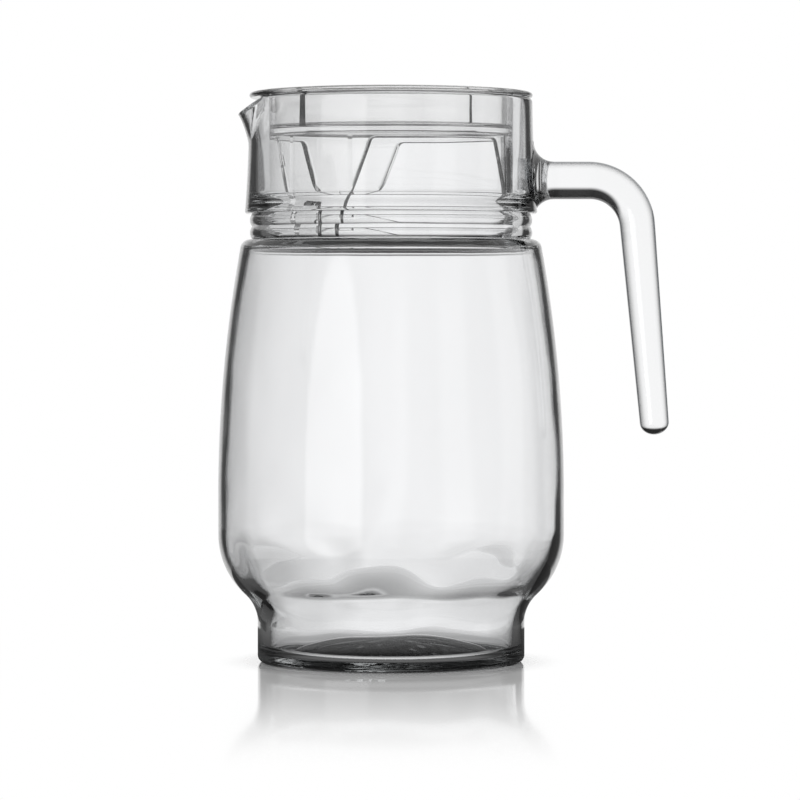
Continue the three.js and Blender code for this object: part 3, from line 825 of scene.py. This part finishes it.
floor_bm = bmesh.new()
floor_place = Matrix.Translation((AXIS, 0, -HAIR))
bmesh.ops.create_circle(
    floor_bm, cap_ends=True, segments=FLOOR_SIDES, radius=FLOOR_RADIUS, matrix=floor_place
)
floor = as_object(floor_bm, "floor")
floor_material = bpy.data.materials.new("floor_white")
floor.data.materials.append(floor_material)
finish = Finish(floor_material)
place = finish.add("TexCoord", {}, {}, "Object")
from_axis = finish.add("VectorMath", {"operation": "SUBTRACT"}, {0: place, 1: (AXIS, 0, 0)})
distance = finish.add("VectorMath", {"operation": "LENGTH"}, {0: from_axis}, "Value")
facing_away = finish.add("LayerWeight", {}, {"Blend": 0.5}, "Facing")
ray = finish.add("LightPath", {}, {}, "Is Transmission Ray")
from_glass = ray.maths("MAXIMUM", ray, ray.output("Is Glossy Ray"))
turned = more_than(0, ray.output("Glossy Depth"))
print("floor radius", FLOOR_RADIUS, "m")

# %% [markdown]
# Sheet in the glass
# Under and beside the foot little light reaches the sheet, and the thick glass of the base
# shows that as its dark tones. The level rises with the distance. It is higher for a steep
# look down through the glass, and lower for light that was mirrored inside a wall. Outside
# the glass the sheet keeps the soft shadow round the foot and is plain white beyond.

# %% White sheet, darker where glass shows it
UNDER_LIGHT, BESIDE_LIGHT, OPEN_LIGHT, STEEP_LIGHT = 0.28, 0.44, 0.8, 0.8
UNDER_REACH, UNDER_END, SHADOW_REACH, TURNED_DEPTH = 0.15, 0.165, 0.065, 0.85
STEEP_LOOK, WHITE = (0.25, 0.62), (1, 1, 1, 1)
foot_shade = FOOT_RADIUS + 2 * FOOT_EDGE
shaded = finish.ramp(distance, FOOT_RADIUS, foot_shade, UNDER_LIGHT, BESIDE_LIGHT)
shaded += finish.ramp(distance, FOOT_RADIUS, UNDER_END, 0.0, OPEN_LIGHT - BESIDE_LIGHT)
shaded += (1 - shaded) * finish.ramp(facing_away, *STEEP_LOOK, STEEP_LIGHT, 0.0)
shaded *= 1 - TURNED_DEPTH * turned
matt = finish.add("BsdfDiffuse", {}, {"Color": WHITE})
plain = finish.add("Emission", {}, {"Color": 1 - from_glass * (1 - shaded), "Strength": 1.0})
bare = finish.ramp(distance, FOOT_RADIUS, SHADOW_REACH) * ray.output("Is Camera Ray")
sheet = finish.add("MixShader", {}, {0: bare.maths("MAXIMUM", bare, from_glass), 1: matt, 2: plain})
print("sheet under the foot", UNDER_LIGHT, "beside it", BESIDE_LIGHT, "and further off", OPEN_LIGHT)

# %% [markdown]
# Gloss of the floor
# The sheet has a faint gloss. It mirrors the foot, most at a grazing look, and the mirror
# image fades out towards the front, so a glossy shader is mixed in by distance and angle.
# Far from the foot the glass looks past the sheet into the room, so that no edge of the
# plate shows in it. A transparent shader does that.

# %% Fading mirror and open edge
MIRROR_REACH, MIRROR_SHARE, MIRROR_BLUR = 0.33, 0.7, 0.06
GRAZING_LOOK, STEEP_MIRROR = (0.6, 0.88), 0.12
mirror = finish.add("BsdfGlossy", {}, {"Color": WHITE, "Roughness": MIRROR_BLUR})
grazing = finish.ramp(facing_away, *GRAZING_LOOK, STEEP_MIRROR, 1.0)
near = finish.ramp(distance, FOOT_RADIUS, MIRROR_REACH, MIRROR_SHARE, 0.0)
near = near * grazing * (1 - from_glass)
polished = finish.add("MixShader", {}, {0: near, 1: sheet, 2: mirror})
beyond = finish.ramp(distance, UNDER_REACH, UNDER_END) * from_glass
open_room = finish.add("BsdfTransparent", {}, {"Color": WHITE})
surface = finish.add("MixShader", {}, {0: beyond, 1: polished, 2: open_room})
finish.add("OutputMaterial", {}, {"Surface": surface})
print("floor nodes:", len(floor_material.node_tree.nodes))

# %% [markdown]
# Studio
# Clear glass has no colour of its own: it shows what surrounds it. So the studio is the
# finish of the room, drawn in the world's nodes. It needs the direction of a ray and its
# history from Light Path: seen directly, sent through glass, mirrored on its outside,
# turned by a mirroring inside a wall, or guided along a wall by several of them.

# %% Directions and kinds of ray
world = bpy.data.worlds.new("studio")
scene.world = world
finish = Finish(world)
direction = finish.add("TexCoord", {}, {}, "Generated")
east = finish.add("SeparateXYZ", {}, {0: direction}, "X")
north, up = east.output("Y"), east.output("Z")
ray = finish.add("LightPath", {}, {}, "Is Camera Ray")
seen, through, mirrored = ray, ray.output("Is Transmission Ray"), ray.output("Is Glossy Ray")
deep = more_than(2, ray.output("Transmission Depth"))
turned = more_than(0, ray.output("Glossy Depth"))
guided = more_than(1, ray.output("Glossy Depth")) * more_than(4, ray.output("Transmission Depth"))
scattered = more_than(0, ray.output("Diffuse Depth"))
print("kinds of ray: seen, through, mirrored, deep, turned, guided, scattered")

# %% [markdown]
# Bright panels with dark gaps
# Photographers light glass with bright panels and leave dark gaps between them, which the
# glass draws as thin lines along its edges. Eight panels in a ring give such lines from
# every side. Each is brightest in its middle and falls off more towards its left. The gaps
# end a little above and below the horizon, and below it the room is slightly grey.

# %% Level of the panels round the pitcher
PANELS, PANEL_TURN, GAP_DEPTH = 8, math.radians(90.5), 0.92
FALLOFF_LEFT, FALLOFF_RIGHT, LOW_LIGHT = 0.35, 0.1, 0.87
GAP_SWING, GAP_ENDS, LOW_ENDS = (-0.8, -0.5), (0.15, 0.24), (-0.3, -0.18)
turn = (east.maths("ARCTAN2", north, east) - PANEL_TURN) * PANELS
swing = turn.maths("COSINE", turn, 0.0)
lean = turn.maths("SINE", turn, 0.0)
leftward = lean.maths("MAXIMUM", lean, 0.0)
rightward = lean.maths("MAXIMUM", 0 - lean, 0.0)
falloff = FALLOFF_LEFT * leftward + FALLOFF_RIGHT * rightward
gap = finish.ramp(swing, *GAP_SWING, GAP_DEPTH, 0.0)
level = finish.ramp(up.maths("ABSOLUTE", up, 0.0), *GAP_ENDS, 1.0, 0.0)
below = finish.ramp(up, *LOW_ENDS, LOW_LIGHT, 1.0)
panel = (1 - gap * level) * (1 - falloff) * below
print("panels:", PANELS, "with a gap every", 360 / PANELS, "degrees")

# %% [markdown]
# Room in the glass
# The room is dark overhead, which draws the shoulder and the rims as dark lines. Light
# turned inside a wall comes out sideways and meets mostly the gaps between the panels, less
# so on the right, where the edge of the glass is lighter. Turned light that crosses several
# walls is lighter below the horizon, and light guided along a wall is nearly lost.

# %% Light that comes through the glass
CEILING_FROM, CEILING_LIGHT = (0.24, 0.42), 0.02
BESIDE_FROM, BESIDE_DIM = (0.3, 0.8), 0.6
EDGE_SIDES, EDGE_LEFT, EDGE_RIGHT = (-0.1, 0.15), 0.14, 0.75
EDGE_SWING, EDGE_DARK = (-0.4, 0.6), 0.03
HORIZON, INNER_LOW, INNER_HIGH, GUIDED_DEPTH = (0.0, 0.1), 0.85, 0.2, 0.93
ceiling = finish.ramp(up, *CEILING_FROM, 1.0, CEILING_LIGHT)
beside = finish.ramp(east, *BESIDE_FROM, 1.0, BESIDE_DIM)
edge_light = finish.ramp(east, *EDGE_SIDES, EDGE_LEFT, EDGE_RIGHT)
edge_line = finish.ramp(swing, *EDGE_SWING, EDGE_DARK, edge_light)
inner = finish.ramp(up, *HORIZON, INNER_LOW, INNER_HIGH) * (1 - GUIDED_DEPTH * guided)
straight_light = ceiling * pick(turned, edge_line, pick(deep, panel, beside))
room = pick(turned * deep, inner, straight_light)
print("light below the horizon", INNER_LOW, "above it", INNER_HIGH, "and overhead", CEILING_LIGHT)

# %% [markdown]
# Soft box and white background
# The outside of the glass mirrors a tall soft box at the front left as a pale upright strip
# on the belly, and the sides behind the pitcher as dark. The background itself and all
# scattered light stay plain white, so the room's dark parts never reach the floor. Light
# runs through many walls of glass and plastic, so it is given enough bounces.

# %% Reflections and the whole light
BOX_AZIMUTH, BOX_CORE, BOX_EDGE = math.radians(231.5), math.radians(18), math.radians(22)
SIDE_FROM, BEHIND_FROM, SIDE_ENDS = (0.35, 0.5), (0.25, 0.45), (0.14, 0.2)
BOX_LIGHT, SIDE_DEPTH, BOUNCES, GLOSSY_BOUNCES = 1.8, 0.85, 32, 12
towards_box = east * math.cos(BOX_AZIMUTH) + north * math.sin(BOX_AZIMUTH)
soft_box = finish.ramp(towards_box, math.cos(BOX_EDGE), math.cos(BOX_CORE))
sideways = finish.ramp(east.maths("ABSOLUTE", east, 0.0), *SIDE_FROM)
sideways = sideways * finish.ramp(north, *BEHIND_FROM) * finish.ramp(up, *SIDE_ENDS, 1.0, 0.0)
gloss = 1 + BOX_LIGHT * soft_box - SIDE_DEPTH * sideways
light = pick(seen, 1.0, pick(scattered, 1.0, pick(through, room, pick(mirrored, gloss, 1.0))))
background = finish.add("Background", {}, {"Color": light, "Strength": 1.0})
finish.add("OutputWorld", {}, {"Surface": background})
scene.cycles.max_bounces = BOUNCES
scene.cycles.transmission_bounces = BOUNCES
scene.cycles.glossy_bounces = GLOSSY_BOUNCES
print("studio nodes:", len(world.node_tree.nodes))

# %% [markdown]
# Camera
# The photograph was taken with a long lens from a little above the middle of the pitcher,
# about 1.4 metres away, looking along +Y. The horizon lies above the middle of the
# picture, so the camera tilts down slightly.

# %% Camera at the photograph's angle
CAMERA_DISTANCE, CAMERA_HEIGHT, CAMERA_SIDE = 1.369, 0.130, 3.3 * mm
TILT, LENS, SENSOR = math.radians(1.39), 166.5, 36
camera_data = bpy.data.cameras.new("camera")
camera_data.lens, camera_data.sensor_width = LENS, SENSOR
camera = bpy.data.objects.new("camera", camera_data)
camera.location = (AXIS + CAMERA_SIDE, -CAMERA_DISTANCE, CAMERA_HEIGHT)
camera.rotation_euler = (math.pi / 2 - TILT, 0, 0)
scene.collection.objects.link(camera)
scene.camera = camera
scene.view_settings.view_transform = "Standard"
print("camera at", tuple(round(c, 4) for c in camera.location))
